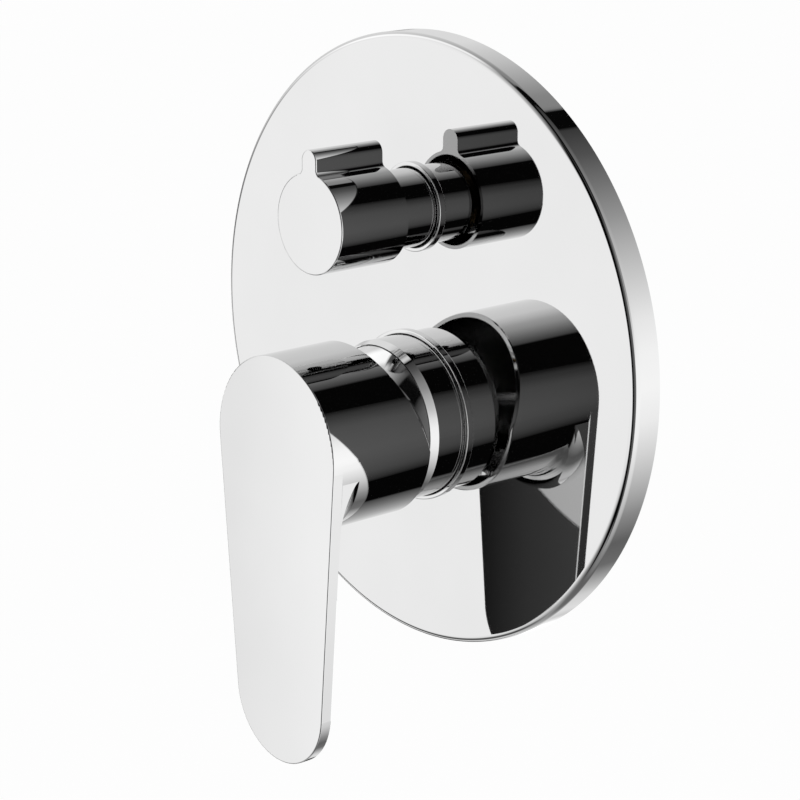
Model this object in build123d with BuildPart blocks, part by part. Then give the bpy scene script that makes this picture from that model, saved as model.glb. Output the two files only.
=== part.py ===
import os
from math import cos, radians, sin, sqrt, tan

from build123d import *

# Concealed single-lever shower mixer with a two-way diverter, trim and in-wall body.
# Millimetres. +X is right, +Y goes into the wall and +Z is up.
# The origin is the centre of the round plate, on the finished wall.

# Cover plate
plate_radius = 90.0
plate_depth = 9.4
plate_sheet = 1.0
plate_edge_rounding = 2.2
mixer_height = -21.7
diverter_height = 40.4
collar_height = 1.2
collar_wall = 1.2
collar_rounding = 0.55
mixer_collar_gap = 0.2
diverter_collar_gap = 0.4
plate_ring_width = 3.0
plate_ring_thickness = 2.2
foam_width = 5.0

# Handle, measured forwards from the plate's face where it says reach or gap
cup_radius = 26.2
cup_wall = 1.4
handle_reach = 51.2
cup_rear_gap = 15.7
paddle_thickness = 3.7
paddle_length = 75.8
paddle_end_radius = 19.8
paddle_root_radius = 6.0
handle_edge_rounding = 0.4
rear_edge_bevel = 0.25
relief_angle = 19.4
relief_drop = 2.3
handle_hub_radius = 9.0
hub_dome_gap = 2.2

# Mixer sleeve and dome
sleeve_radius = 24.0
sleeve_wall = 1.3
sleeve_reach = 13.2
sleeve_chamfer_length = 2.4
sleeve_chamfer_width = 1.0
dome_wall = 1.4
dome_inset = 0.2
dome_opening_radius = 12.0
dome_skirt_length = 10.4

# Diverter knob and sleeve
knob_radius = 14.4
knob_wall = 1.1
knob_face = 2.5
knob_reach = 38.1
knob_rear_gap = 14.1
knob_edge_rounding = 0.45
fin_width = 6.3
fin_height = 20.8
fin_root_radius = 1.8
knob_hub_radius = 10.5
knob_hub_length = 20.0
small_sleeve_radius = 11.4
small_sleeve_wall = 1.1
small_sleeve_reach = 12.7
small_sleeve_chamfer = 0.3

# Lever, its cross pin and its travel
pivot_depth = -6.0
lever_tilt = 12.5
stem_width = 8.0
stem_length = 44.5
stem_tail = 3.0
stem_chamfer = 0.6
arm_radius = 2.2
arm_length = 10.0
ball_radius = 3.4
pin_radius = 1.5
pin_length = 24.0

# Mixing cartridge
cartridge_radius = 17.5
cartridge_bore = 15.4
cartridge_front = -11.4
cartridge_face = 2.0
cartridge_mouth_radius = 12.4
cartridge_neck_radius = 14.5
cartridge_neck_length = 2.0
rotor_flange_thickness = 8.3
rotor_nose = 3.6
guide_height = 5.2
guide_reach = 11.0
carrier_width = 16.2
carrier_length = 18.0
carrier_flange_radius = 11.0
carrier_flange_thickness = 4.0
carrier_back = 8.5
ball_end_gap = 0.3
slot_end_gap = 0.5
disc_thickness = 3.5
fixed_disc_thickness = 4.0
base_thickness = 4.0
seal_section = 2.0
seal_stand = 0.5
inlet_hole_x = 6.0
inlet_hole_drop = 4.0
inlet_hole_radius = 2.6
mixed_hole_rise = 7.0
mixed_hole_radius = 3.2
mixing_pocket_depth = 2.0
mixing_pocket_span = 7.0
mixing_pocket_width = 8.0

# Diverter headwork
headwork_radius = 9.3
headwork_neck_gap = 1.7
headwork_neck_front = -19.5
headwork_hex_flats = 22.0
headwork_hex_thickness = 3.0
headwork_cavity_radius = 8.0
headwork_cavity_front = 2.0
spindle_radius = 4.0
spindle_front = -44.0
spindle_flange_radius = 7.6
spindle_flange_thickness = 3.9
spindle_flat = 0.8
spindle_chamfer = 0.5
diverter_disc_thickness = 3.0
diverter_fixed_thickness = 3.45
diverter_hole_circle = 5.6
diverter_hole_radius = 1.8
diverter_seal_section = 1.5

# In-wall body
sleeve_neck_gap = 1.5
neck_front = -17.0
nut_thread_radius = 19.2
nut_bore_radius = 15.0
nut_thickness = 5.1
nut_notch_width = 4.0
nut_notch_depth = 1.8
nut_notch_count = 6
chamber_shoulder = 0.8
chamber_front = 2.2
body_back = 35.0
diverter_boss_radius = 14.0
diverter_boss_front = -3.0
port_depth = 27.0
port_boss_radius = 13.5
port_thread_radius = 9.5
port_thread_length = 14.0
port_step = 0.6
inlet_divider = 5.0
inlet_reach = 38.0
bath_mouth_height = -62.0
shower_mouth_height = 62.0
shower_port_depth = 22.0
shower_boss_radius = 12.5
shower_thread_length = 11.0
passage_radius = 4.5
riser_radius = 3.4
channel_depth = 40.5
channel_radius = 4.0
channel_wall = 2.5
channel_bevel = 2.0
branch_wall = 2.0
link_radius = 3.0
drill_run = 0.5
column_width = 20.0
column_front = 17.0
lug_spacing = 54.0
lug_radius = 7.5
lug_thickness = 6.0
lug_hole_radius = 2.75

# Rings on the necks
sleeve_ring_depth = -1.5
sleeve_ring_groove = 1.0
small_ring_depth = -14.0
small_ring_groove = 0.7
spindle_ring_depth = -12.0
spindle_ring_groove = 1.2

# Grub screws
handle_screw_radius = 2.5
handle_screw_length = 5.4
handle_screw_place = 38.0
handle_screw_access = 3.2
knob_screw_radius = 2.0
knob_screw_length = 4.0
knob_screw_access = 2.6
socket_depth = 2.2

# Clearances
film = 0.05
running_gap = 0.08
slip_gap = 0.1
rotor_gap = 0.1
sleeve_end_gap = 0.4

# How far cuts run past what they cut, and how close two places count as one
overshoot = 1.0
same_place = 0.01

# Places worked out from the sizes above
plate_face = -plate_depth
plate_back = plate_face + plate_sheet
handle_front = plate_face - handle_reach
paddle_back = handle_front + paddle_thickness
cup_rear = plate_face - cup_rear_gap
cup_bore = cup_radius - cup_wall
sleeve_front = plate_face - sleeve_reach
sleeve_bore = sleeve_radius - sleeve_wall
neck_radius = sleeve_bore - sleeve_neck_gap
chamber_radius = neck_radius + chamber_shoulder
sleeve_rear = chamber_front - sleeve_end_gap
small_sleeve_front = plate_face - small_sleeve_reach
small_sleeve_bore = small_sleeve_radius - small_sleeve_wall
headwork_neck_radius = small_sleeve_bore - headwork_neck_gap
knob_front = plate_face - knob_reach
knob_rear = plate_face - knob_rear_gap
knob_floor = knob_front + knob_face
headwork_hex_front = diverter_boss_front - headwork_hex_thickness
small_sleeve_rear = headwork_hex_front - slip_gap
carrier_front = carrier_back - carrier_flange_thickness - guide_height + rotor_gap
moving_disc_back = carrier_back + disc_thickness
fixed_disc_front = moving_disc_back + film
fixed_disc_back = fixed_disc_front + fixed_disc_thickness
base_back = fixed_disc_back + base_thickness
seat_depth = base_back + seal_stand
rotor_front = cartridge_front + cartridge_face + rotor_gap
rotor_back = rotor_front + rotor_flange_thickness
stem_axis = Plane(
    origin=(0, pivot_depth, mixer_height),
    x_dir=(1, 0, 0),
    z_dir=(0, -cos(radians(lever_tilt)), -sin(radians(lever_tilt))),
)
ball_rise = arm_length * sin(radians(lever_tilt))
diverter_disc_front = headwork_cavity_front + rotor_gap + spindle_flange_thickness
diverter_disc_back = diverter_disc_front + diverter_disc_thickness
diverter_fixed_front = diverter_disc_back + film
diverter_fixed_back = diverter_fixed_front + diverter_fixed_thickness
diverter_seat = diverter_fixed_back + diverter_seal_section
inlet_height = mixer_height - inlet_hole_drop
lug_height = (mixer_height + diverter_height) / 2


def front_view(depth, height, x=0):
    """Plane that faces the user: its X is right, its Y is up."""
    return Plane(origin=(x, depth, height), x_dir=(1, 0, 0), z_dir=(0, -1, 0))


def half_section(height, x=0):
    """Plane through an axis that runs into the wall: its X is radius, its Y is depth."""
    return Plane(origin=(x, 0, height))


def wall_axis(height, x=0):
    """Axis that runs into the wall."""
    return Axis((x, 0, height), (0, 1, 0))


def disc(height, radius, front, back, x=0, mode=Mode.ADD):
    """Round disc or hole between two depths."""
    with BuildSketch(front_view(back, height, x)) as outline:
        Circle(radius)
    extrude(outline.sketch, amount=back - front, mode=mode)


def ring(height, outer, inner, front, back, x=0):
    """Round tube or washer between two depths."""
    with BuildSketch(front_view(back, height, x)) as outline:
        Circle(outer)
        Circle(inner, mode=Mode.SUBTRACT)
    extrude(outline.sketch, amount=back - front)


def bar(start, direction, radius, length, mode=Mode.ADD):
    """Round bar or drilled hole from a start point."""
    with BuildSketch(Plane(origin=start, z_dir=direction)) as end:
        Circle(radius)
    extrude(end.sketch, amount=length, mode=mode)


def rubber_ring(height, inner, section, depth, x=0):
    """Ring of round section about an axis into the wall."""
    with BuildSketch(half_section(height, x)) as profile:
        with Locations((inner + section / 2, depth)):
            Circle(section / 2)
    revolve(profile.sketch, axis=wall_axis(height, x))


def groove(height, outer, depth_of_cut, width, depth):
    """Square groove for a rubber ring, cut round a neck."""
    with BuildSketch(half_section(height)) as profile:
        with Locations((outer - depth_of_cut / 2 + slip_gap, depth)):
            Rectangle(depth_of_cut + 2 * slip_gap, width)
    revolve(profile.sketch, axis=wall_axis(height), mode=Mode.SUBTRACT)


def socket(plane, across_flats, depth):
    """Hexagon socket cut into the end of a grub screw."""
    with BuildSketch(plane) as outline:
        RegularPolygon(across_flats / sqrt(3), 6)
    extrude(outline.sketch, amount=-depth, mode=Mode.SUBTRACT)


def rim(piece, height, radius, depth):
    """Circular edges of one radius and depth about an axis into the wall."""
    def matches(edge):
        centre = edge.arc_center
        on_axis = abs(centre.X) < same_place and abs(centre.Z - height) < same_place
        same_size = abs(edge.radius - radius) < same_place
        return on_axis and same_size and abs(centre.Y - depth) < same_place
    return piece.edges().filter_by(GeomType.CIRCLE).filter_by(matches)


def sphere_depth(radius, at_radius):
    """Depth of the front of a sphere about the pivot, at a radius from the mixer axis."""
    return pivot_depth - sqrt(radius**2 - at_radius**2)


def paddle_outline(plane, inset=0):
    """Drop shape of the handle's face: cup circle, tangent sides and end arc."""
    with BuildSketch(plane) as outline:
        Circle(cup_radius - inset)
        with Locations((0, -paddle_length)):
            Circle(paddle_end_radius - inset)
        make_hull()
    return outline.sketch


# Cover plate: drawn sheet with a rim back to the wall and a rolled collar round each hole
collars = [
    (mixer_height, sleeve_radius + mixer_collar_gap),
    (diverter_height, small_sleeve_radius + diverter_collar_gap),
]
with BuildPart() as escutcheon_plate:
    with BuildSketch(half_section(0)) as plate_profile:
        with BuildLine():
            Polyline(
                (0, plate_face),
                (plate_radius, plate_face),
                (plate_radius, 0),
                (plate_radius - plate_sheet, 0),
                (plate_radius - plate_sheet, plate_back),
                (0, plate_back),
                close=True,
            )
        make_face()
        outer_corner = plate_profile.vertices().sort_by(Axis.Y)[:2].sort_by(Axis.X)[-1]
        fillet(outer_corner, plate_edge_rounding)
        inner_wall = plate_radius - plate_sheet
        inner_corner = plate_profile.vertices().filter_by(
            lambda v: abs(v.X - inner_wall) < same_place and abs(v.Y - plate_back) < same_place
        )
        fillet(inner_corner, plate_edge_rounding - plate_sheet)
    revolve(axis=wall_axis(0))
    for collar_axis, hole_radius in collars:
        disc(collar_axis, hole_radius + collar_wall, plate_face - collar_height, plate_face)
    for collar_axis, hole_radius in collars:
        hole_front = plate_face - collar_height - overshoot
        disc(collar_axis, hole_radius, hole_front, 0, mode=Mode.SUBTRACT)
    for collar_axis, hole_radius in collars:
        lip = plate_face - collar_height
        fillet(rim(escutcheon_plate, collar_axis, hole_radius + collar_wall, lip), collar_rounding)
        fillet(rim(escutcheon_plate, collar_axis, hole_radius, lip), collar_rounding)

# Foam ring that seals the plate's rim against the wall
with BuildPart() as plate_foam_seal:
    foam_outer = plate_radius - plate_edge_rounding
    ring(0, foam_outer, foam_outer - foam_width, plate_back, 0)

# Rubber rings behind the plate that grip the two sleeves
with BuildPart() as mixer_plate_ring:
    ring_back = plate_back + plate_ring_thickness
    ring(mixer_height, sleeve_radius + plate_ring_width, sleeve_radius, plate_back, ring_back)
with BuildPart() as diverter_plate_ring:
    ring_outer = small_sleeve_radius + plate_ring_width
    ring(diverter_height, ring_outer, small_sleeve_radius, plate_back, ring_back)

# Mixer sleeve: tube with a sloping front edge
with BuildPart() as mixer_sleeve:
    with BuildSketch(half_section(mixer_height)):
        with BuildLine():
            Polyline(
                (sleeve_bore, sleeve_front),
                (sleeve_radius - sleeve_chamfer_width, sleeve_front),
                (sleeve_radius, sleeve_front + sleeve_chamfer_length),
                (sleeve_radius, sleeve_rear),
                (sleeve_bore, sleeve_rear),
                close=True,
            )
        make_face()
    revolve(axis=wall_axis(mixer_height))

# Dome inside the sleeve: its centre is the lever's pivot, so the cup swings over it
dome_rim = sleeve_bore - slip_gap
dome_front = sleeve_front + dome_inset
dome_radius = sqrt(dome_rim**2 + (pivot_depth - dome_front) ** 2)
dome_inner = dome_radius - dome_wall
dome_middle = (dome_rim + dome_opening_radius) / 2
with BuildPart() as mixer_dome:
    with BuildSketch(half_section(mixer_height)):
        with BuildLine():
            outer_arc = ThreePointArc(
                (dome_rim, dome_front),
                (dome_middle, sphere_depth(dome_radius, dome_middle)),
                (dome_opening_radius, sphere_depth(dome_radius, dome_opening_radius)),
            )
            inner_arc = ThreePointArc(
                (dome_opening_radius, sphere_depth(dome_inner, dome_opening_radius)),
                (dome_middle, sphere_depth(dome_inner, dome_middle)),
                (neck_radius, sphere_depth(dome_inner, neck_radius)),
            )
            Line(outer_arc @ 1, inner_arc @ 0)
            Polyline(
                inner_arc @ 1,
                (neck_radius, dome_front + dome_skirt_length),
                (dome_rim, dome_front + dome_skirt_length),
                outer_arc @ 0,
            )
        make_face()
    revolve(axis=wall_axis(mixer_height))

# Handle: hollow cup, flat drop-shaped paddle and the hub that takes the lever stem
screw_axis = Plane(
    origin=stem_axis.from_local_coords((0, 0, handle_screw_place)),
    x_dir=(1, 0, 0),
    z_dir=-stem_axis.y_dir,
)
paddle_side_end = front_view(paddle_back - rear_edge_bevel, mixer_height)


def on_cup(edge):
    """Whether an edge lies on the cup's outside."""
    middle = edge @ 0.5
    return abs(sqrt(middle.X**2 + (middle.Z - mixer_height) ** 2) - cup_radius) < same_place


with BuildPart() as paddle_root:
    with BuildSketch(half_section(mixer_height)):
        with BuildLine():
            flat = Line(
                (cup_radius - cup_wall, paddle_back),
                (cup_radius + paddle_root_radius, paddle_back),
            )
            hollow = RadiusArc(
                flat @ 1,
                (cup_radius, paddle_back + paddle_root_radius),
                paddle_root_radius,
            )
            Polyline(
                hollow @ 1,
                (cup_radius - cup_wall, paddle_back + paddle_root_radius),
                flat @ 0,
            )
        make_face()
    revolve(axis=wall_axis(mixer_height))
    root_end = front_view(paddle_back + paddle_root_radius, mixer_height)
    root_trim = paddle_outline(root_end, rear_edge_bevel)
    extrude(root_trim, amount=paddle_root_radius, mode=Mode.INTERSECT)

with BuildPart() as handle:
    hub_start = stem_axis.offset(dome_radius + hub_dome_gap)
    with BuildSketch(hub_start):
        Circle(handle_hub_radius)
    extrude(amount=handle_reach)
    disc(mixer_height, 2 * cup_radius, 2 * handle_front, paddle_back, mode=Mode.SUBTRACT)
    ring(mixer_height, cup_radius, cup_bore, paddle_back - rear_edge_bevel, cup_rear)
    add(paddle_root.part)
    with BuildSketch(Plane.YZ.offset(-cup_radius - overshoot)):
        with BuildLine():
            relief_low = (cup_rear, mixer_height - relief_drop)
            relief_top = mixer_height + cup_radius + overshoot
            relief_run = (relief_top - relief_low[1]) * tan(radians(relief_angle))
            Polyline(
                relief_low,
                (cup_rear - relief_run, relief_top),
                (cup_rear + overshoot, relief_top),
                (cup_rear + overshoot, relief_low[1]),
                close=True,
            )
        make_face()
    extrude(amount=2 * (cup_radius + overshoot), mode=Mode.SUBTRACT)
    behind_paddle = handle.edges().filter_by(
        lambda e: e.geom_type != GeomType.LINE and (e @ 0.5).Y > paddle_back + paddle_root_radius
    )
    chamfer(behind_paddle.filter_by(on_cup), rear_edge_bevel)
    extrude(paddle_outline(paddle_side_end), amount=paddle_thickness - rear_edge_bevel)
    rear_outline = paddle_outline(front_view(paddle_back, mixer_height), rear_edge_bevel)
    loft([paddle_outline(paddle_side_end), rear_outline], ruled=True)
    fillet(handle.faces().sort_by(Axis.Y)[0].edges(), handle_edge_rounding)
    with BuildSketch(stem_axis):
        Rectangle(stem_width + slip_gap, stem_width + slip_gap)
    extrude(amount=stem_length + slip_gap, mode=Mode.SUBTRACT)
    with BuildSketch(screw_axis):
        Circle(handle_screw_radius + film)
    extrude(amount=handle_hub_radius + overshoot, mode=Mode.SUBTRACT)
    with BuildSketch(screw_axis.offset(handle_hub_radius + overshoot)):
        Circle(handle_screw_access)
    extrude(amount=cup_radius, mode=Mode.SUBTRACT)

# Grub screw that holds the handle on the stem
with BuildPart() as handle_set_screw:
    screw_tip = screw_axis.offset(stem_width / 2)
    with BuildSketch(screw_tip):
        Circle(handle_screw_radius)
    extrude(amount=handle_screw_length)
    socket(screw_tip.offset(handle_screw_length), handle_screw_radius, socket_depth)

# Diverter sleeve
with BuildPart() as diverter_sleeve:
    ring(
        diverter_height,
        small_sleeve_radius,
        small_sleeve_bore,
        small_sleeve_front,
        small_sleeve_rear,
    )
    front_rim = rim(diverter_sleeve, diverter_height, small_sleeve_radius, small_sleeve_front)
    chamfer(front_rim, small_sleeve_chamfer)

# Diverter knob: hollow round knob with a rounded fin along its whole top
with BuildPart() as diverter_knob:
    with BuildSketch(front_view(knob_rear, diverter_height)) as knob_outline:
        Circle(knob_radius)
        fin_centre = fin_height - fin_width / 2
        with Locations((0, fin_centre / 2)):
            Rectangle(fin_width, fin_centre)
        with Locations((0, fin_centre)):
            Circle(fin_width / 2)
        root_height = sqrt(knob_radius**2 - (fin_width / 2) ** 2)
        roots = knob_outline.vertices().filter_by(
            lambda v: abs(abs(v.X) - fin_width / 2) < same_place
            and abs(v.Y - root_height) < same_place
        )
        fillet(roots, fin_root_radius)
    extrude(amount=knob_rear - knob_front)
    fillet(diverter_knob.faces().sort_by(Axis.Y)[0].edges(), knob_edge_rounding)
    disc(diverter_height, knob_radius - knob_wall, knob_floor, knob_rear, mode=Mode.SUBTRACT)
    hub_rear = knob_floor + knob_hub_length
    disc(diverter_height, knob_hub_radius, knob_floor, hub_rear)
    bore_radius = spindle_radius + running_gap
    disc(diverter_height, bore_radius, spindle_front - slip_gap, hub_rear, mode=Mode.SUBTRACT)
    screw_depth = knob_floor + knob_hub_length / 2
    screw_start = (0, screw_depth, diverter_height)
    screw_run = knob_hub_radius + overshoot
    bar(screw_start, (0, 0, -1), knob_screw_radius + film, screw_run, Mode.SUBTRACT)
    access_start = (0, screw_depth, diverter_height - screw_run)
    bar(access_start, (0, 0, -1), knob_screw_access, knob_radius, Mode.SUBTRACT)

# Grub screw that holds the knob on the flat of the spindle
with BuildPart() as knob_set_screw:
    flat_height = diverter_height - spindle_radius + spindle_flat
    bar((0, screw_depth, flat_height), (0, 0, -1), knob_screw_radius, knob_screw_length)
    screw_end = Plane(
        origin=(0, screw_depth, flat_height - knob_screw_length), z_dir=(0, 0, -1)
    )
    socket(screw_end, knob_screw_radius, socket_depth)

# Lever stem: square bar, round arm and ball, with a hole for the cross pin
with BuildPart() as lever_stem:
    with BuildSketch(stem_axis.offset(-stem_tail)):
        Rectangle(stem_width, stem_width)
    extrude(amount=stem_length + stem_tail)
    chamfer(lever_stem.faces().sort_by(Axis.Y)[0].edges(), stem_chamfer)
    with BuildSketch(stem_axis.offset(-arm_length)):
        Circle(arm_radius)
    extrude(amount=arm_length)
    with Locations(stem_axis.from_local_coords((0, 0, -arm_length))):
        Sphere(ball_radius)
    pin_start = (-stem_width, pivot_depth, mixer_height)
    bar(pin_start, (1, 0, 0), pin_radius + running_gap, 2 * stem_width, Mode.SUBTRACT)

# Cross pin through the turret
with BuildPart() as lever_pin:
    bar((-pin_length / 2, pivot_depth, mixer_height), (1, 0, 0), pin_radius, pin_length)

# Turret of the cartridge: it turns with the lever and guides the disc carrier
slot_half_height = (
    (pivot_depth - rotor_front + rotor_nose) * tan(radians(lever_tilt))
    + stem_width / 2 / cos(radians(lever_tilt))
    + slot_end_gap
)
with BuildPart() as cartridge_rotor:
    disc(mixer_height, cartridge_bore - slip_gap, rotor_front, rotor_back)
    nose_radius = cartridge_mouth_radius - running_gap
    disc(mixer_height, nose_radius, rotor_front - rotor_nose, rotor_front)
    guide_width = nose_radius - carrier_width / 2
    guide_centre = carrier_width / 2 + slip_gap + guide_width / 2
    with BuildSketch(front_view(rotor_back + guide_height, mixer_height)):
        with Locations((guide_centre, 0), (-guide_centre, 0)):
            Rectangle(guide_width, 2 * guide_reach)
        Circle(cartridge_bore - slip_gap, mode=Mode.INTERSECT)
    extrude(amount=guide_height)
    with BuildSketch(front_view(rotor_back, mixer_height)):
        Rectangle(stem_width + 2 * slip_gap, 2 * slot_half_height)
    extrude(amount=rotor_flange_thickness + rotor_nose, mode=Mode.SUBTRACT)
    pin_start = (-cartridge_bore, pivot_depth, mixer_height)
    bar(pin_start, (1, 0, 0), pin_radius + film, 2 * cartridge_bore, Mode.SUBTRACT)

# Disc carrier: a slide between the turret's guides with a pocket for the lever's ball
carrier_height = mixer_height + ball_rise
with BuildPart() as disc_carrier:
    with BuildSketch(front_view(carrier_back, carrier_height)):
        Rectangle(carrier_width, carrier_length)
    extrude(amount=carrier_back - carrier_front)
    flange_front = carrier_back - carrier_flange_thickness
    disc(carrier_height, carrier_flange_radius, flange_front, carrier_back)
    ball_depth = pivot_depth + arm_length + ball_radius
    pocket_radius = ball_radius + slip_gap
    pocket_back = ball_depth + ball_end_gap
    disc(carrier_height, pocket_radius, carrier_front, pocket_back, mode=Mode.SUBTRACT)

# Moving ceramic disc with the mixing pocket on its rubbing face
with BuildPart() as moving_disc:
    disc(carrier_height, carrier_flange_radius, carrier_back, moving_disc_back)
    with BuildSketch(front_view(moving_disc_back, carrier_height)):
        SlotCenterToCenter(mixing_pocket_span, mixing_pocket_width)
    extrude(amount=mixing_pocket_depth, mode=Mode.SUBTRACT)

# Fixed ceramic disc and the cartridge's end plate share three water holes
water_holes = [
    (-inlet_hole_x, -inlet_hole_drop, inlet_hole_radius),
    (inlet_hole_x, -inlet_hole_drop, inlet_hole_radius),
    (0, mixed_hole_rise, mixed_hole_radius),
]
with BuildPart() as fixed_disc:
    disc(mixer_height, cartridge_bore - slip_gap, fixed_disc_front, fixed_disc_back)
    for hole_x, hole_z, hole_radius in water_holes:
        height = mixer_height + hole_z
        disc(height, hole_radius, fixed_disc_front, fixed_disc_back, hole_x, Mode.SUBTRACT)

groove_back = base_back + slip_gap
groove_front = seat_depth - seal_section
with BuildPart() as cartridge_base:
    disc(mixer_height, cartridge_bore - slip_gap, fixed_disc_back, base_back)
    for hole_x, hole_z, hole_radius in water_holes:
        height = mixer_height + hole_z
        seal_outer = hole_radius + seal_section
        disc(height, hole_radius, fixed_disc_back, base_back, hole_x, Mode.SUBTRACT)
        disc(height, seal_outer, groove_front, groove_back, hole_x, Mode.SUBTRACT)

# Three rubber rings between the end plate and the seat in the body
with BuildPart() as cartridge_seals:
    for hole_x, hole_z, hole_radius in water_holes:
        height = mixer_height + hole_z
        seal_depth = seat_depth - seal_section / 2
        rubber_ring(height, hole_radius, seal_section, seal_depth, hole_x)

# Cartridge case
with BuildPart() as cartridge_housing:
    ring(mixer_height, cartridge_radius, cartridge_bore, cartridge_front, base_back)
    face_back = cartridge_front + cartridge_face
    ring(mixer_height, cartridge_radius, cartridge_mouth_radius, cartridge_front, face_back)
    collar_front = cartridge_front - cartridge_neck_length
    ring(
        mixer_height,
        cartridge_neck_radius,
        cartridge_mouth_radius,
        collar_front,
        cartridge_front,
    )

# Ring nut that clamps the cartridge, with notches for a key
with BuildPart() as cartridge_nut:
    nut_front = cartridge_front - nut_thickness
    ring(mixer_height, nut_thread_radius, nut_bore_radius, nut_front, cartridge_front)
    with BuildSketch(front_view(nut_front + nut_notch_depth, mixer_height)):
        with PolarLocations((nut_thread_radius + nut_bore_radius) / 2, nut_notch_count):
            Rectangle(2 * (nut_thread_radius - nut_bore_radius), nut_notch_width)
    extrude(amount=nut_notch_depth, mode=Mode.SUBTRACT)

# Diverter headwork: threaded barrel with a hexagon, and the neck that carries the small sleeve
with BuildPart() as diverter_cartridge:
    disc(diverter_height, headwork_radius, diverter_boss_front, diverter_fixed_back)
    with BuildSketch(front_view(diverter_boss_front, diverter_height)):
        RegularPolygon(headwork_hex_flats / sqrt(3), 6)
    extrude(amount=headwork_hex_thickness)
    disc(diverter_height, headwork_neck_radius, headwork_neck_front, headwork_hex_front)
    disc(
        diverter_height,
        spindle_radius + running_gap,
        headwork_neck_front,
        headwork_cavity_front,
        mode=Mode.SUBTRACT,
    )
    disc(
        diverter_height,
        headwork_cavity_radius,
        headwork_cavity_front,
        diverter_fixed_back,
        mode=Mode.SUBTRACT,
    )
    small_ring_section = small_sleeve_bore - headwork_neck_radius + small_ring_groove
    groove(
        diverter_height,
        headwork_neck_radius,
        small_ring_groove,
        small_ring_section,
        small_ring_depth,
    )

# Diverter spindle with a flat for the knob's screw and a flange that drives the disc
with BuildPart() as diverter_spindle:
    flange_start = headwork_cavity_front + rotor_gap
    disc(diverter_height, spindle_radius, spindle_front, flange_start)
    disc(diverter_height, spindle_flange_radius, flange_start, diverter_disc_front)
    chamfer(rim(diverter_spindle, diverter_height, spindle_radius, spindle_front), spindle_chamfer)
    spindle_ring_section = spindle_ring_groove + running_gap
    groove(
        diverter_height,
        spindle_radius,
        spindle_ring_groove,
        spindle_ring_section,
        spindle_ring_depth,
    )
    flat_rear = knob_floor + knob_hub_length
    with BuildSketch(front_view(flat_rear, diverter_height - spindle_radius)):
        Rectangle(2 * spindle_radius, 2 * spindle_flat)
    extrude(amount=flat_rear - spindle_front, mode=Mode.SUBTRACT)

# Ring on the spindle
with BuildPart() as spindle_oring:
    ring_inner = spindle_radius - spindle_ring_groove
    rubber_ring(diverter_height, ring_inner, spindle_ring_section, spindle_ring_depth)

# Moving ceramic disc of the diverter, with a sector cut away to open one outlet at a time
with BuildPart() as diverter_moving_disc:
    disc(diverter_height, spindle_flange_radius, diverter_disc_front, diverter_disc_back)
    with BuildSketch(front_view(diverter_disc_back, diverter_height)):
        SlotArc(
            CenterArc((0, 0), diverter_hole_circle, -90, 90), 2 * diverter_hole_radius
        )
    extrude(amount=diverter_disc_thickness / 2, mode=Mode.SUBTRACT)

# Fixed ceramic disc of the diverter: supply, bath and shower holes
diverter_holes = [
    (0, -diverter_hole_circle),
    (-diverter_hole_circle, 0),
    (diverter_hole_circle, 0),
]
with BuildPart() as diverter_fixed_disc:
    disc(
        diverter_height,
        headwork_cavity_radius,
        diverter_fixed_front,
        diverter_fixed_back,
    )
    for hole_x, hole_z in diverter_holes:
        disc(
            diverter_height + hole_z,
            diverter_hole_radius,
            diverter_fixed_front,
            diverter_fixed_back,
            hole_x,
            Mode.SUBTRACT,
        )

# Rubber rings between the fixed disc and its seat
with BuildPart() as diverter_seals:
    for hole_x, hole_z in diverter_holes:
        rubber_ring(
            diverter_height + hole_z,
            diverter_hole_radius,
            diverter_seal_section,
            diverter_seat - diverter_seal_section / 2,
            hole_x,
        )

# Rings that hold the sleeves on their necks
with BuildPart() as mixer_sleeve_oring:
    sleeve_ring_section = sleeve_bore - neck_radius + sleeve_ring_groove
    rubber_ring(
        mixer_height,
        neck_radius - sleeve_ring_groove,
        sleeve_ring_section,
        sleeve_ring_depth,
    )
with BuildPart() as diverter_sleeve_oring:
    rubber_ring(
        diverter_height,
        headwork_neck_radius - small_ring_groove,
        small_ring_section,
        small_ring_depth,
    )

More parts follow.
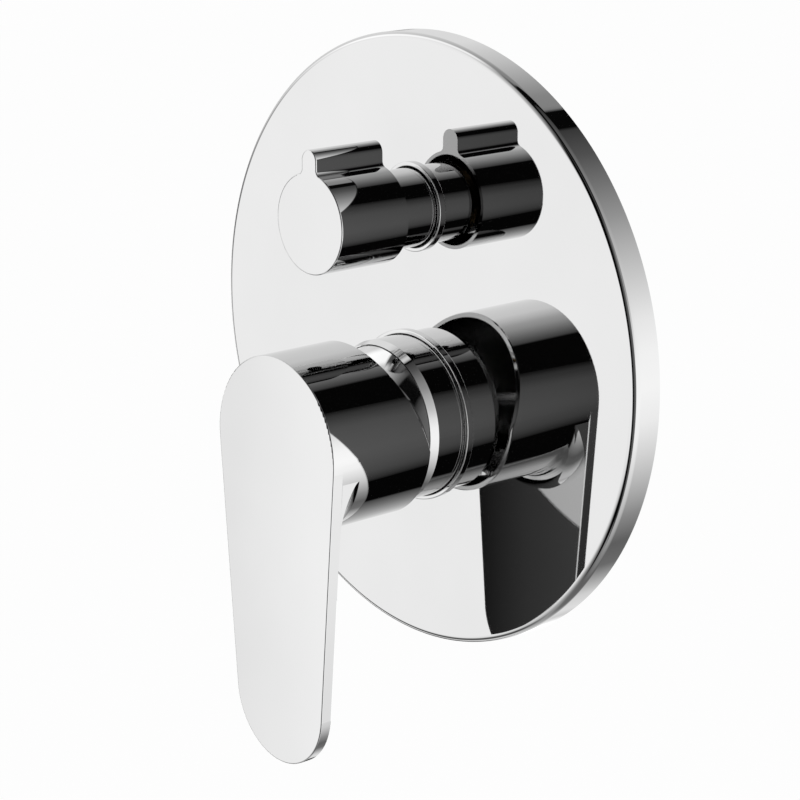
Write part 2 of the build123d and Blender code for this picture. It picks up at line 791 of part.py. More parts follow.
# In-wall body: cast brass with a mixing chamber, a diverter chamber and four ports
with BuildPart() as valve_body:
    disc(mixer_height, chamber_radius, chamber_front, body_back)
    disc(mixer_height, neck_radius, neck_front, chamber_front)
    disc(diverter_height, diverter_boss_radius, diverter_boss_front, body_back)
    with BuildSketch(front_view(body_back, lug_height)):
        Rectangle(column_width, diverter_height - mixer_height)
    extrude(amount=body_back - column_front)
    with BuildSketch(front_view(column_front + lug_thickness, lug_height)):
        SlotCenterToCenter(lug_spacing, 2 * lug_radius)
    extrude(amount=lug_thickness)
    for side in (-1, 1):
        mouth = (side * inlet_reach, port_depth, inlet_height)
        bar(mouth, (-side, 0, 0), port_boss_radius, inlet_reach)
    bath_mouth = (0, port_depth, bath_mouth_height)
    bar(bath_mouth, (0, 0, 1), port_boss_radius, mixer_height - bath_mouth_height)
    shower_mouth = (0, shower_port_depth, shower_mouth_height)
    shower_length = shower_mouth_height - diverter_height
    bar(shower_mouth, (0, 0, -1), shower_boss_radius, shower_length)
    channel_x = -diverter_hole_circle
    channel_low = bath_mouth_height + port_thread_length + channel_radius
    channel_outer = channel_radius + channel_wall
    channel_foot = channel_low - link_radius - channel_wall
    channel_top = diverter_height + diverter_hole_radius + channel_wall
    with BuildSketch(Plane.XZ.offset(-channel_depth)) as channel_profile:
        with Locations((channel_x + channel_outer / 2, (channel_foot + channel_top) / 2)):
            Rectangle(channel_outer, channel_top - channel_foot)
        tips = channel_profile.vertices().filter_by(lambda v: v.X > channel_x + channel_wall)
        chamfer(tips, channel_bevel)
    revolve(axis=Axis((channel_x, channel_depth, 0), (0, 0, 1)))
    branch_length = channel_depth - port_depth
    branch_low = (channel_x, port_depth, channel_low)
    branch_high = (channel_x, port_depth, diverter_height)
    bar(branch_low, (0, 1, 0), link_radius + branch_wall, branch_length)
    bar(branch_high, (0, 1, 0), diverter_hole_radius + branch_wall, branch_length)

    # Chambers, seats and the thread for the ring nut
    disc(mixer_height, cartridge_radius + slip_gap, neck_front, seat_depth, mode=Mode.SUBTRACT)
    nut_recess = cartridge_front + cartridge_face
    disc(mixer_height, nut_thread_radius, neck_front, nut_recess, mode=Mode.SUBTRACT)
    disc(
        diverter_height,
        headwork_radius,
        diverter_boss_front,
        diverter_seat,
        mode=Mode.SUBTRACT,
    )
    groove(
        mixer_height, neck_radius, sleeve_ring_groove, sleeve_ring_section, sleeve_ring_depth
    )

    # Hot and cold inlets, from their threads to the seat
    for side in (-1, 1):
        mouth = (side * inlet_reach, port_depth, inlet_height)
        bar(mouth, (-side, 0, 0), port_thread_radius, port_thread_length, Mode.SUBTRACT)
        inlet_run = inlet_reach - inlet_divider / 2
        bar(mouth, (-side, 0, 0), passage_radius, inlet_run, Mode.SUBTRACT)
        disc(
            inlet_height,
            inlet_hole_radius,
            seat_depth,
            port_depth,
            side * inlet_hole_x,
            Mode.SUBTRACT,
        )

    # Mixed water: from the seat up the riser to the diverter's seat
    mixed_height = mixer_height + mixed_hole_rise
    supply_height = diverter_height - diverter_hole_circle
    disc(mixed_height, mixed_hole_radius, seat_depth, port_depth, 0, Mode.SUBTRACT)
    riser_foot = mixed_height - mixed_hole_radius - drill_run
    riser_top = supply_height + diverter_hole_radius + drill_run
    riser_start = (0, port_depth, riser_foot)
    bar(riser_start, (0, 0, 1), riser_radius, riser_top - riser_foot, Mode.SUBTRACT)
    disc(
        supply_height, diverter_hole_radius, diverter_seat, port_depth, 0, Mode.SUBTRACT
    )

    # Bath water: from the seat to the channel at the back and down to the lower port
    bar(bath_mouth, (0, 0, 1), port_thread_radius, port_thread_length, Mode.SUBTRACT)
    bath_room = port_thread_length + 2 * channel_radius
    bar(bath_mouth, (0, 0, 1), port_thread_radius - port_step, bath_room, Mode.SUBTRACT)
    disc(channel_low, link_radius, port_depth, channel_depth, channel_x, Mode.SUBTRACT)
    drill_foot = channel_low - link_radius - drill_run
    drill_top = diverter_height + diverter_hole_radius + drill_run
    channel_start = (channel_x, channel_depth, drill_foot)
    bar(channel_start, (0, 0, 1), channel_radius, drill_top - drill_foot, Mode.SUBTRACT)
    disc(
        diverter_height,
        diverter_hole_radius,
        diverter_seat,
        channel_depth,
        channel_x,
        Mode.SUBTRACT,
    )

    # Shower water: from the seat up to the upper port
    bar(
        shower_mouth, (0, 0, -1), port_thread_radius, shower_thread_length, Mode.SUBTRACT
    )
    shower_foot = diverter_height - diverter_hole_radius - drill_run
    shower_start = (diverter_hole_circle, shower_port_depth, shower_foot)
    shower_run = shower_mouth_height - shower_thread_length / 2 - shower_foot
    bar(shower_start, (0, 0, 1), riser_radius, shower_run, Mode.SUBTRACT)
    disc(
        diverter_height,
        diverter_hole_radius,
        diverter_seat,
        shower_port_depth,
        diverter_hole_circle,
        Mode.SUBTRACT,
    )

    # Holes for the wall screws
    for side in (-1, 1):
        disc(
            lug_height,
            lug_hole_radius,
            column_front,
            column_front + lug_thickness,
            side * lug_spacing / 2,
            Mode.SUBTRACT,
        )

pieces = {
    "escutcheon_plate": escutcheon_plate,
    "plate_foam_seal": plate_foam_seal,
    "mixer_plate_ring": mixer_plate_ring,
    "diverter_plate_ring": diverter_plate_ring,
    "mixer_sleeve": mixer_sleeve,
    "mixer_dome": mixer_dome,
    "handle": handle,
    "handle_set_screw": handle_set_screw,
    "diverter_sleeve": diverter_sleeve,
    "diverter_knob": diverter_knob,
    "knob_set_screw": knob_set_screw,
    "lever_stem": lever_stem,
    "lever_pin": lever_pin,
    "cartridge_rotor": cartridge_rotor,
    "disc_carrier": disc_carrier,
    "moving_disc": moving_disc,
    "fixed_disc": fixed_disc,
    "cartridge_base": cartridge_base,
    "cartridge_seals": cartridge_seals,
    "cartridge_housing": cartridge_housing,
    "cartridge_nut": cartridge_nut,
    "diverter_cartridge": diverter_cartridge,
    "diverter_spindle": diverter_spindle,
    "spindle_oring": spindle_oring,
    "diverter_moving_disc": diverter_moving_disc,
    "diverter_fixed_disc": diverter_fixed_disc,
    "diverter_seals": diverter_seals,
    "mixer_sleeve_oring": mixer_sleeve_oring,
    "diverter_sleeve_oring": diverter_sleeve_oring,
    "valve_body": valve_body,
}

os.makedirs("parts", exist_ok=True)
for node, piece in pieces.items():
    piece.part.label = node
    export_step(piece.part, f"parts/{node}.step")
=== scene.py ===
from math import cos, pi, radians, sin

import bpy
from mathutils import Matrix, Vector
from mathutils.geometry import tessellate_polygon


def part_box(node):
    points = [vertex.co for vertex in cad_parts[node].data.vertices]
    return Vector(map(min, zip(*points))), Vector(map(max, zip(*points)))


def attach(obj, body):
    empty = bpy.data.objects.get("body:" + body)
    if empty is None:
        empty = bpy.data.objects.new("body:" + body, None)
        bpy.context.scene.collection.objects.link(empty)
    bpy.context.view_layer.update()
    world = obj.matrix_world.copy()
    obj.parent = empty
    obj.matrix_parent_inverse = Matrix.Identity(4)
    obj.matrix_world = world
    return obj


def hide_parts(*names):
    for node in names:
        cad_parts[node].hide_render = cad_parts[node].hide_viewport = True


# Shower diverter valve: looks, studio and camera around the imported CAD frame. Metres.
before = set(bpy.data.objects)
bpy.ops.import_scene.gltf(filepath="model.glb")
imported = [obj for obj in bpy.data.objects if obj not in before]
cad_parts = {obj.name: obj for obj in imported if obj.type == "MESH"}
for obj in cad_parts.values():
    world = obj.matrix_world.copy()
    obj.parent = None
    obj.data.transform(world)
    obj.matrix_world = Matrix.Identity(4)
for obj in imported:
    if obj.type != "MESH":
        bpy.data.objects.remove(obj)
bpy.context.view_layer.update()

# Camera, from the photograph's perspective
camera_azimuth = 49.525
camera_elevation = 16.058
camera_distance = 0.72112
camera_target = (-0.00582, -0.0094, -0.01867)
camera_lens = 109.88
camera_clip_start = 0.01
sensor_width = 36.0

# Floor and page: the page is the white that the camera sees
floor_height = -1.1
floor_size = 16.0
floor_grain = 3
floor_tones = ((0.94, 0.94, 0.94), (0.96, 0.96, 0.96))
floor_roughness = 0.9
page_white = (1.0, 1.0, 1.0)
page_share = 0.95
page_strength = 0.984

# Key lamp
key_power = 5.0
key_size = 0.9
key_place = (-0.9, -1.1, 1.2)

# Room: its white, the strength for diffuse light, the strength straight ahead, and the dark
studio_white = (0.93, 0.93, 0.935)
room_strength = 0.75
ahead_strength = 1.35
black = 0.003

# What reflections see round the Y axis: (degrees up from +X, brightness). Two of the rooms
# are the same at the lower right.
lower_right = [
    (-99.5, 0.44), (-93, 0.21), (-81, 0.165), (-68, 0.36), (-55, 0.67), (-42, 0.99),
    (-29, 1.28), (-16, 1.39), (-3, 1.34),
]
room_in_front = [
    (-180, 1.28), (-150, 1.25), (-135, 1.1), (-123, 0.85), (-100, 0.36), (-86, 0.12),
    (-85.5, black), (78.5, black), (79, 0.08), (84, 0.15), (91, 0.27), (97.5, 0.40),
    (104.5, 0.55), (113, 0.68), (123, 0.95), (135, 1.2), (150, 1.25), (180, 1.28),
]
room_behind = [
    (-180, 0.80), (-176, 0.40), (-171, 0.36), (-166, 1.38), (-160, 1.54), (-148, 1.54),
    (-142, 1.40), (-130, 0.72), (-123, 0.94), (-112, 0.86), *lower_right,
    (10, 1.19), (23, 0.93), (49.5, 0.436), (62.5, 0.26), (75.5, 0.123), (87.2, 0.058),
    (87.6, black), (98.1, black), (98.5, 0.32), (106, 0.345), (129, 0.735), (150, 0.95),
    (180, 0.80),
]
room_beside = [
    (-180, 0.50), (-170, 0.15), (-120, 0.10), (-112, 0.10), *lower_right,
    (10, 0.90), (20, 0.45), (40, 0.25), (48, black), (98, black), (105, 0.30), (118, 1.30),
    (160, 1.50), (174, 1.10), (180, 0.50),
]

# Where the room changes, by the Y and the X of a reflection's direction: (from, to)
front_to_rear_y = (-0.56, -0.36)
beside_starts_y = (-0.52, -0.38)
beside_ends_y = (-0.2, -0.05)
ahead_ends_y = (-0.94, -0.8)
ahead_darkens_x = (0.11, 0.18)

# Cards that only reflections see: rows of (one corner, other corner, brightness at each)
side_x = 0.40
side_front = -0.65
side_rear = -0.19
camera_side_rows = [
    ((side_x, side_front, front_z), (side_x, side_rear, rear_z), front_level, rear_level)
    for front_z, rear_z, front_level, rear_level in (
        (-0.268, -0.788, 0.008, 0.0218),
        (-0.230, -0.581, 0.014, 0.107),
        (-0.185, -0.340, 0.019, 0.187),
        (-0.130, -0.061, 0.019, 0.216),
        (-0.080, 0.219, 0.019, 0.187),
        (-0.015, 0.451, 0.014, 0.107),
        (0.043, 0.638, 0.008, 0.0276),
    )
]
rear_y = 0.10
rear_bottom = -0.60
rear_top = 0.0
rear_left_strips = [
    ((strip_x, rear_y, rear_bottom), (strip_x, rear_y, rear_top), level, level)
    for strip_x, level in ((-0.80, 0.0), (-0.205, 0.0), (-0.165, 0.06), (-0.13, 0.09))
]

# Noise in the materials: its detail, how much finer the fine grain is, and the part of the
# noise's range over which a colour changes
plain_detail = 2.0
fine_detail = 4.0
finer_grain = 6
ramp_start = 0.3
ramp_end = 0.7


def direction(azimuth, elevation):
    """Unit vector from the object towards a camera angle."""
    turn = radians(azimuth)
    rise = radians(elevation)
    return Vector((sin(turn) * cos(rise), -cos(turn) * cos(rise), sin(rise)))


def new_material(name):
    """Empty node material with its shader: (material, nodes, links, shader)."""
    made = bpy.data.materials.new(name)
    made.use_nodes = True
    tree = made.node_tree
    return made, tree.nodes, tree.links, tree.nodes["Principled BSDF"]


def maths(nodes, links, operation, *values):
    """Result of one maths node; each value is a number or a socket."""
    made = nodes.new("ShaderNodeMath")
    made.operation = operation
    for slot, value in zip(made.inputs, values):
        if isinstance(value, (int, float)):
            slot.default_value = value
        else:
            links.new(value, slot)
    return made.outputs["Value"]


def noise(nodes, links, scale, detail=plain_detail):
    """Noise over the piece's own coordinates, in cycles per metre."""
    place = nodes.new("ShaderNodeTexCoord")
    texture = nodes.new("ShaderNodeTexNoise")
    texture.inputs["Scale"].default_value = scale
    texture.inputs["Detail"].default_value = detail
    links.new(place.outputs["Object"], texture.inputs["Vector"])
    return texture.outputs["Fac"]


def ramp(nodes, links, factor, low, high):
    """Colour that runs from low to high over a factor."""
    scale = nodes.new("ShaderNodeValToRGB")
    stops = scale.color_ramp.elements
    for stop, position, colour in zip(stops, (ramp_start, ramp_end), (low, high)):
        stop.position = position
        stop.color = (*colour, 1)
    links.new(factor, scale.inputs["Fac"])
    return scale.outputs["Color"]


def spread(nodes, links, factor, low, high):
    """Number that runs from low to high over a factor."""
    scale = nodes.new("ShaderNodeMapRange")
    scale.inputs["To Min"].default_value = low
    scale.inputs["To Max"].default_value = high
    links.new(factor, scale.inputs["Value"])
    return scale.outputs["Result"]


def bump(nodes, links, shader, factor, depth):
    """Relief of a depth in metres on a shader."""
    relief = nodes.new("ShaderNodeBump")
    relief.inputs["Distance"].default_value = depth
    relief.inputs["Strength"].default_value = 1.0
    links.new(factor, relief.inputs["Height"])
    links.new(relief.outputs["Normal"], shader.inputs["Normal"])


def surface(name, low, high, metallic, roughness, grain, depth, fine_grain=None):
    """Material whose colour, roughness and relief all vary with noise."""
    made, nodes, links, shader = new_material(name)
    cloud = noise(nodes, links, grain)
    detail = noise(nodes, links, fine_grain or finer_grain * grain, fine_detail)
    links.new(ramp(nodes, links, cloud, low, high), shader.inputs["Base Color"])
    links.new(spread(nodes, links, detail, *roughness), shader.inputs["Roughness"])
    shader.inputs["Metallic"].default_value = metallic
    if depth:
        bump(nodes, links, shader, detail, depth)
    return made


def turned(name, low, high, roughness, axis_height):
    """Metal with fine tool marks round an axis that runs into the wall."""
    made, nodes, links, shader = new_material(name)
    place = nodes.new("ShaderNodeTexCoord")
    centred = nodes.new("ShaderNodeMapping")
    centred.inputs["Location"].default_value = (0, 0, -axis_height)
    marks = nodes.new("ShaderNodeTexWave")
    marks.wave_type = "RINGS"
    marks.rings_direction = "Y"
    marks.inputs["Scale"].default_value = marks_scale
    marks.inputs["Distortion"].default_value = marks_distortion
    links.new(place.outputs["Object"], centred.inputs["Vector"])
    links.new(centred.outputs["Vector"], marks.inputs["Vector"])
    cloud = noise(nodes, links, turned_grain)
    links.new(ramp(nodes, links, cloud, low, high), shader.inputs["Base Color"])
    links.new(spread(nodes, links, marks.outputs["Fac"], *roughness), shader.inputs["Roughness"])
    shader.inputs["Metallic"].default_value = 1.0
    bump(nodes, links, shader, marks.outputs["Fac"], marks_depth)
    return made


def hollow_with_painted_shade(name, axis_height, bore, depth):
    """Chrome with painted shade in a hollow: darker in colour, and rougher, within a bore and
    behind a depth.
    """
    made = surface(name, *chrome_look)
    nodes = made.node_tree.nodes
    links = made.node_tree.links
    shader = nodes["Principled BSDF"]
    place = nodes.new("ShaderNodeTexCoord")
    from_axis = nodes.new("ShaderNodeMapping")
    from_axis.inputs["Location"].default_value = (0, 0, -axis_height)
    from_axis.inputs["Scale"].default_value = (1, 0, 1)
    radius = nodes.new("ShaderNodeVectorMath")
    radius.operation = "LENGTH"
    split = nodes.new("ShaderNodeSeparateXYZ")
    links.new(place.outputs["Object"], from_axis.inputs["Vector"])
    links.new(from_axis.outputs["Vector"], radius.inputs[0])
    links.new(place.outputs["Object"], split.inputs["Vector"])
    within = maths(nodes, links, "LESS_THAN", radius.outputs["Value"], bore)
    behind = maths(nodes, links, "GREATER_THAN", split.outputs["Y"], depth)
    hollow_shade_mask = maths(nodes, links, "MULTIPLY", within, behind)
    # In the hollow the colour is darkened as painted shade, and the roughness is raised
    for socket, shaded_and_dull in (("Base Color", (*painted_shade_chrome, 1)), ("Roughness", dull_roughness)):
        blend = nodes.new("ShaderNodeMix")
        blend.data_type = "RGBA" if socket == "Base Color" else "FLOAT"
        kept = shader.inputs[socket].links[0].from_socket
        ends = [plug for plug in blend.inputs if plug.enabled and plug.name in "AB"]
        links.new(hollow_shade_mask, blend.inputs["Factor"])
        links.new(kept, ends[0])
        ends[1].default_value = shaded_and_dull
        result = next(plug for plug in blend.outputs if plug.enabled)
        links.new(result, shader.inputs[socket])
    return made


def shade_across(made, left, right, left_share, right_share):
    """Paint light and shade into a material's colour, running evenly from left to right."""
    nodes = made.node_tree.nodes
    links = made.node_tree.links
    base = nodes["Principled BSDF"].inputs["Base Color"]
    place = nodes.new("ShaderNodeTexCoord")
    split = nodes.new("ShaderNodeSeparateXYZ")
    across = nodes.new("ShaderNodeMapRange")
    across.inputs["From Min"].default_value = left
    across.inputs["From Max"].default_value = right
    across.inputs["To Min"].default_value = left_share
    across.inputs["To Max"].default_value = right_share
    shaded = nodes.new("ShaderNodeVectorMath")
    shaded.operation = "SCALE"
    links.new(place.outputs["Object"], split.inputs["Vector"])
    links.new(split.outputs["X"], across.inputs["Value"])
    links.new(base.links[0].from_socket, shaded.inputs["Vector"])
    links.new(across.outputs["Result"], shaded.inputs["Scale"])
    links.new(shaded.outputs["Vector"], base)


mixer_height = (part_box("mixer_sleeve")[0].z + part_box("mixer_sleeve")[1].z) / 2
diverter_height = (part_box("diverter_sleeve")[0].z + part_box("diverter_sleeve")[1].z) / 2

# Chrome, and the hollows of the handle's cup and of the knob, where it is rougher and darkened
# by painted shade: the radius of each bore and the y of its floor
chrome_look = ((0.64, 0.64, 0.64), (0.66, 0.66, 0.66), 1.0, (0.01, 0.025), 25, 0)
# Darker colour painted in the hollows as shade, and their roughness
painted_shade_chrome = (0.42, 0.42, 0.42)
dull_roughness = 0.22
cup_bore = 0.02495
cup_floor = -0.0575
knob_bore = 0.01345
knob_floor = -0.0465

# Painted shading of the handle's chrome, darker at the left and lighter at the right: x at its
# left and right, share of its colour at each
handle_shading = (-0.02, 0.022, 0.93, 1.05)

# Turned brass: its colours, with the diverter's darkened by painted shade, its grain and its
# tool marks
dark_brass = (0.66, 0.46, 0.19)
light_brass = (0.74, 0.54, 0.25)
# Diverter brass, darkened as painted shade where it sits deep inside the sleeve
shaded_brass_dark = (0.17, 0.11, 0.045)
shaded_brass_light = (0.24, 0.165, 0.07)
turned_grain = 90
marks_scale = 83.3333
marks_distortion = 0.6
marks_depth = 2e-5

# Each surface: its two colours, metallic, lowest and highest roughness, grain in cycles per
# metre, depth of relief, and the fine grain where it isn't the usual multiple
chrome = surface("chrome", *chrome_look)
satin_chrome = surface(
    "satin_chrome", (0.68, 0.68, 0.68), (0.72, 0.72, 0.72), 1.0, (0.04, 0.07), 25, 0
)
# Painted shade darkens the hollows of the handle's cup and of the knob
cup_chrome = hollow_with_painted_shade("cup_chrome", mixer_height, cup_bore, cup_floor)
# The handle's chrome is painted darker at its left and lighter at its right
shade_across(cup_chrome, *handle_shading)
knob_chrome = hollow_with_painted_shade("knob_chrome", diverter_height, knob_bore, knob_floor)
cast_brass = surface(
    "cast_brass", (0.50, 0.34, 0.13), (0.62, 0.44, 0.19), 1.0, (0.42, 0.62), 60, 0.0004, 900
)
mixer_brass = turned("turned_brass_mixer", dark_brass, light_brass, (0.16, 0.3), mixer_height)
# The diverter's brass pieces, darkened by painted shade
diverter_brass = turned(
    "turned_brass_diverter", shaded_brass_dark, shaded_brass_light, (0.3, 0.45), diverter_height
)
white_plastic = surface(
    "white_plastic", (0.74, 0.74, 0.71), (0.80, 0.80, 0.78), 0, (0.38, 0.5), 200, 4e-5
)
grey_plastic = surface(
    "grey_plastic", (0.16, 0.165, 0.17), (0.21, 0.215, 0.22), 0, (0.4, 0.55), 200, 4e-5
)
ceramic = surface("ceramic", (0.80, 0.79, 0.75), (0.86, 0.85, 0.82), 0, (0.12, 0.22), 500, 1e-5)
black_rubber = surface(
    "black_rubber", (0.018, 0.018, 0.019), (0.035, 0.035, 0.036), 0, (0.6, 0.8), 150, 8e-5
)
steel = surface("steel", (0.50, 0.50, 0.51), (0.60, 0.60, 0.61), 1.0, (0.2, 0.34), 300, 1e-5)
foam = surface(
    "foam", (0.10, 0.10, 0.105), (0.19, 0.19, 0.195), 0, (0.85, 0.98), 500, 0.0004, 1500
)

finishes = {
    "escutcheon_plate": chrome,
    "mixer_sleeve": chrome,
    "mixer_dome": satin_chrome,
    "handle": cup_chrome,
    "diverter_sleeve": chrome,
    "diverter_knob": knob_chrome,
    "plate_foam_seal": foam,
    "mixer_plate_ring": black_rubber,
    "diverter_plate_ring": black_rubber,
    "cartridge_seals": black_rubber,
    "spindle_oring": black_rubber,
    "diverter_seals": black_rubber,
    "mixer_sleeve_oring": black_rubber,
    "diverter_sleeve_oring": black_rubber,
    "handle_set_screw": steel,
    "knob_set_screw": steel,
    "lever_pin": steel,
    "lever_stem": mixer_brass,
    "cartridge_nut": mixer_brass,
    "diverter_cartridge": diverter_brass,
    "diverter_spindle": diverter_brass,
    "cartridge_rotor": white_plastic,
    "cartridge_housing": white_plastic,
    "disc_carrier": grey_plastic,
    "cartridge_base": grey_plastic,
    "moving_disc": ceramic,
    "fixed_disc": ceramic,
    "diverter_moving_disc": ceramic,
    "diverter_fixed_disc": ceramic,
    "valve_body": cast_brass,
}
for node, finish in finishes.items():
    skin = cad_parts[node].data.materials
    skin.clear()
    skin.append(finish)

# Cover plate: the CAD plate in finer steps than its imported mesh, with sharper collar edges
steps_round = 720
steps_per_rounding = 12
plate_sheet = 0.001
plate_rounding = 0.0022
collar_height = 0.0012
collar_wall = 0.0012
collar_rounding = 0.00032
collar_gaps = {"mixer_sleeve": 0.0002, "diverter_sleeve": 0.0004}


def arc(radius, depth, size, start, end, side):
    """Rounding of a profile: (radius, depth, outward, forward) from start to end angle."""
    points = []
    for step in range(steps_per_rounding + 1):
        angle = radians(start + (end - start) * step / steps_per_rounding)
        out, back = sin(angle), -cos(angle)
        points.append((radius + size * out, depth + size * back, side * out, side * back))
    return points


class Turning:
    """Mesh gathered from rings round axes that run into the wall, with exact normals."""

    def __init__(self):
        self.corners = []
        self.faces = []
        self.normals = []
        self.rings = {}

    def ring(self, height, radius, depth):
        """Corners of one circle; the same circle is made only once."""
        key = (round(height, 7), round(radius, 7), round(depth, 7))
        if key not in self.rings:
            first = len(self.corners)
            for step in range(steps_round):
                angle = 2 * pi * step / steps_round
                self.corners.append((radius * cos(angle), depth, height + radius * sin(angle)))
            self.rings[key] = list(range(first, len(self.corners)))
        return self.rings[key]

    def face(self, corners, normals):
        """One face, turned so that its front is on the side of its normals."""
        first, second, third = (Vector(self.corners[corner]) for corner in corners[:3])
        if (second - first).cross(third - first).dot(normals[0]) < 0:
            corners = corners[::-1]
            normals = normals[::-1]
        self.faces.append(corners)
        self.normals += normals

    def sweep(self, height, profile):
        """Skin between the circles of a profile."""
        for near, far in zip(profile, profile[1:]):
            near_ring = self.ring(height, *near[:2])
            far_ring = self.ring(height, *far[:2])
            for step in range(steps_round):
                after = (step + 1) % steps_round
                normals = []
                for turn_step, (radius, depth, out, back) in (
                    (step, near), (step + 1, near), (step + 1, far), (step, far)
                ):
                    angle = 2 * pi * turn_step / steps_round
                    normals.append(Vector((out * cos(angle), back, out * sin(angle))))
                square = [near_ring[step], near_ring[after], far_ring[after], far_ring[step]]
                self.face(square, normals)

    def flat(self, outer, holes, forward):
        """Flat face between a circle and the holes in it."""
        loops = [self.ring(*outer)] + [self.ring(*hole)[::-1] for hole in holes]
        order = [corner for loop in loops for corner in loop]
        outlines = [[Vector(self.corners[corner]) for corner in loop] for loop in loops]
        for triangle in tessellate_polygon(outlines):
            self.face([order[corner] for corner in triangle], [Vector((0, forward, 0))] * 3)

    def piece(self, name):
        """Object made of what was gathered."""
        mesh = bpy.data.meshes.new(name)
        mesh.from_pydata(self.corners, [], self.faces)
        mesh.polygons.foreach_set("use_smooth", [True] * len(self.faces))
        mesh.normals_split_custom_set(self.normals)
        mesh.update()
        made = bpy.data.objects.new(name, mesh)
        bpy.context.scene.collection.objects.link(made)
        return made


plate_low, plate_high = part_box("escutcheon_plate")
plate_radius = plate_high.x
lip = plate_low.y
plate_face = lip + collar_height
plate_back = plate_face + plate_sheet
flat_radius = plate_radius - plate_rounding
rounding_depth = plate_face + plate_rounding
inner_radius = plate_radius - plate_sheet
plate = Turning()
plate.sweep(0, arc(flat_radius, rounding_depth, plate_rounding, 0, 90, 1))
plate.sweep(0, [(plate_radius, rounding_depth, 1, 0), (plate_radius, 0, 1, 0)])
plate.sweep(0, [(plate_radius, 0, 0, 1), (inner_radius, 0, 0, 1)])
plate.sweep(0, [(inner_radius, 0, -1, 0), (inner_radius, rounding_depth, -1, 0)])
plate.sweep(0, arc(flat_radius, rounding_depth, plate_rounding - plate_sheet, 90, 0, -1))
roots = []
holes = []
for sleeve, gap in collar_gaps.items():
    sleeve_low, sleeve_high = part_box(sleeve)
    axis_height = (sleeve_low.z + sleeve_high.z) / 2
    hole = sleeve_high.x + gap
    root = hole + collar_wall
    shoulder = lip + collar_rounding
    plate.sweep(axis_height, [(root, plate_face, 1, 0), (root, shoulder, 1, 0)])
    plate.sweep(axis_height, arc(root - collar_rounding, shoulder, collar_rounding, 90, 0, 1))
    crest = [(root - collar_rounding, lip, 0, -1), (hole + collar_rounding, lip, 0, -1)]
    plate.sweep(axis_height, crest)
    plate.sweep(axis_height, arc(hole + collar_rounding, shoulder, collar_rounding, 0, -90, 1))
    plate.sweep(axis_height, [(hole, shoulder, -1, 0), (hole, plate_back, -1, 0)])
    roots.append((axis_height, root, plate_face))
    holes.append((axis_height, hole, plate_back))
plate.flat((0, flat_radius, plate_face), roots, -1)
plate.flat((0, flat_radius, plate_back), holes, 1)
fine_plate = plate.piece("fine_escutcheon_plate")
fine_plate.data.materials.append(chrome)
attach(fine_plate, "fixed")
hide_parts("escutcheon_plate")


def glow(name):
    """Card material: plain light whose strength the card's own corners carry."""
    made, nodes, links, _ = new_material(name)
    lit = nodes.new("ShaderNodeEmission")
    level = nodes.new("ShaderNodeAttribute")
    level.attribute_name = "brightness"
    links.new(level.outputs["Fac"], lit.inputs["Strength"])
    links.new(lit.outputs["Emission"], nodes["Material Output"].inputs["Surface"])
    return made


def card(name, rows):
    """Card built of rows of corners and their brightness, seen only in reflections."""
    corners = []
    levels = []
    faces = []
    for count, (left, right, left_level, right_level) in enumerate(rows):
        corners += [left, right]
        levels += [left_level, right_level]
        if count:
            last = 2 * count
            faces.append((last - 2, last - 1, last + 1, last))
    mesh = bpy.data.meshes.new(name)
    mesh.from_pydata(corners, [], faces)
    brightness = mesh.attributes.new("brightness", "FLOAT", "POINT")
    brightness.data.foreach_set("value", levels)
    made = bpy.data.objects.new(name, mesh)
    bpy.context.scene.collection.objects.link(made)
    mesh.materials.append(glow(name))
    made.visible_camera = False
    made.visible_diffuse = False
    made.visible_shadow = False
    made.visible_transmission = False


card("camera_side_card", camera_side_rows)
card("rear_left_card", rear_left_strips)

# Pale floor well below the object
floor_mesh = bpy.data.meshes.new("floor")
half = floor_size / 2
floor_corners = [
    (x, y, floor_height) for x, y in ((-half, -half), (half, -half), (half, half), (-half, half))
]
floor_mesh.from_pydata(floor_corners, [], [(0, 1, 2, 3)])
floor = bpy.data.objects.new("floor", floor_mesh)
bpy.context.scene.collection.objects.link(floor)
floor.visible_glossy = False
floor_paint, nodes, links, shader = new_material("floor_paint")
tone = ramp(nodes, links, noise(nodes, links, floor_grain), *floor_tones)
links.new(tone, shader.inputs["Base Color"])
shader.inputs["Roughness"].default_value = floor_roughness
page = nodes.new("ShaderNodeEmission")
page.inputs["Color"].default_value = (*page_white, 1)
rays = nodes.new("ShaderNodeLightPath")
shown = rays.outputs["Is Camera Ray"]
for ray in ("Is Glossy Ray", "Is Transmission Ray"):
    shown = maths(nodes, links, "MAXIMUM", shown, rays.outputs[ray])
blend = nodes.new("ShaderNodeMixShader")
links.new(maths(nodes, links, "MULTIPLY", shown, page_share), blend.inputs["Fac"])
links.new(shader.outputs["BSDF"], blend.inputs[1])
links.new(page.outputs["Emission"], blend.inputs[2])
links.new(blend.outputs["Shader"], nodes["Material Output"].inputs["Surface"])
floor_mesh.materials.append(floor_paint)

# World: white page for the camera, soft white room for diffuse light, bands for reflections
world = bpy.data.worlds.new("studio")
bpy.context.scene.world = world
world.use_nodes = True
nodes = world.node_tree.nodes
links = world.node_tree.links
nodes.clear()
out = nodes.new("ShaderNodeOutputWorld")


def background(colour, strength):
    """World background of one strength; the colour is a value or a socket."""
    made = nodes.new("ShaderNodeBackground")
    made.inputs["Strength"].default_value = strength
    if isinstance(colour, tuple):
        made.inputs["Color"].default_value = (*colour, 1)
    else:
        links.new(colour, made.inputs["Color"])
    return made.outputs["Background"]


def mix(factor, first, second):
    """Shader that goes from first to second with a factor."""
    made = nodes.new("ShaderNodeMixShader")
    links.new(factor, made.inputs["Fac"])
    links.new(first, made.inputs[1])
    links.new(second, made.inputs[2])
    return made.outputs["Shader"]


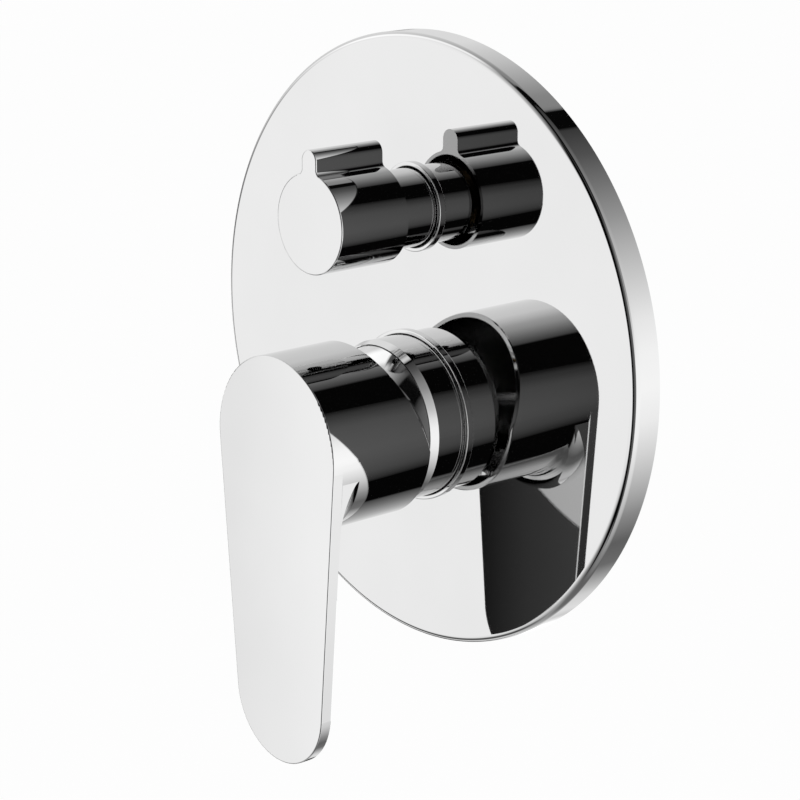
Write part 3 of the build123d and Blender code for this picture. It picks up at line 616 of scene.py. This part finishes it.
def bands(factor, table):
    """Grey bands from a table of angle and brightness."""
    brightest = max(value for angle, value in table)
    scale = nodes.new("ShaderNodeValToRGB")
    stops = scale.color_ramp.elements
    while len(stops) < len(table):
        stops.new(0.5)
    for stop, (angle, value) in zip(stops, table):
        stop.position = angle / 360 + 0.5
        level = value / brightest
        stop.color = (level, level, level, 1)
    links.new(factor, scale.inputs["Fac"])
    return background(scale.outputs["Color"], brightest)


sky = nodes.new("ShaderNodeTexCoord")
split = nodes.new("ShaderNodeSeparateXYZ")
links.new(sky.outputs["Generated"], split.inputs["Vector"])
across, inward, up = (split.outputs[axis] for axis in "XYZ")
turn = maths(nodes, links, "ARCTAN2", up, across)
turn_share = maths(nodes, links, "MULTIPLY_ADD", turn, 1 / (2 * pi), 0.5)


def rising(value, start, end):
    """Share that eases from 0 to 1 while a value goes from start to end."""
    made = nodes.new("ShaderNodeMapRange")
    made.interpolation_type = "SMOOTHSTEP"
    made.inputs["From Min"].default_value = start
    made.inputs["From Max"].default_value = end
    links.new(value, made.inputs["Value"])
    return made.outputs["Result"]


def falling(value, start, end):
    """Share that eases from 1 to 0 while a value goes from start to end."""
    return maths(nodes, links, "SUBTRACT", 1, rising(value, start, end))


mirrored = mix(
    rising(inward, *front_to_rear_y),
    bands(turn_share, room_in_front),
    bands(turn_share, room_behind),
)
near_front = rising(inward, *beside_starts_y)
beside = maths(nodes, links, "MULTIPLY", near_front, falling(inward, *beside_ends_y))
mirrored = mix(beside, mirrored, bands(turn_share, room_beside))
straight_ahead = mix(
    rising(across, *ahead_darkens_x),
    background(studio_white, ahead_strength),
    background(studio_white, black),
)
mirrored = mix(falling(inward, *ahead_ends_y), mirrored, straight_ahead)
rays = nodes.new("ShaderNodeLightPath")
lit = mix(rays.outputs["Is Glossy Ray"], background(studio_white, room_strength), mirrored)
seen = mix(rays.outputs["Is Camera Ray"], lit, background(page_white, page_strength))
links.new(seen, out.inputs["Surface"])

# Soft key light, out of the reflections
key = bpy.data.lights.new("key", "AREA")
key.energy = key_power
key.size = key_size
key_lamp = bpy.data.objects.new("key", key)
key_lamp.location = key_place
key_aim = Vector(camera_target) - Vector(key_place)
key_lamp.rotation_euler = key_aim.to_track_quat("-Z", "Y").to_euler()
key_lamp.visible_glossy = False
bpy.context.scene.collection.objects.link(key_lamp)

# Camera
camera = bpy.data.cameras.new("camera")
camera.lens = camera_lens
camera.sensor_width = sensor_width
camera.clip_start = camera_clip_start
camera_view = bpy.data.objects.new("camera", camera)
towards = direction(camera_azimuth, camera_elevation)
camera_view.location = Vector(camera_target) + towards * camera_distance
camera_view.rotation_euler = (-towards).to_track_quat("-Z", "Y").to_euler()
bpy.context.scene.collection.objects.link(camera_view)
bpy.context.scene.camera = camera_view
bpy.context.scene.view_settings.view_transform = "Standard"
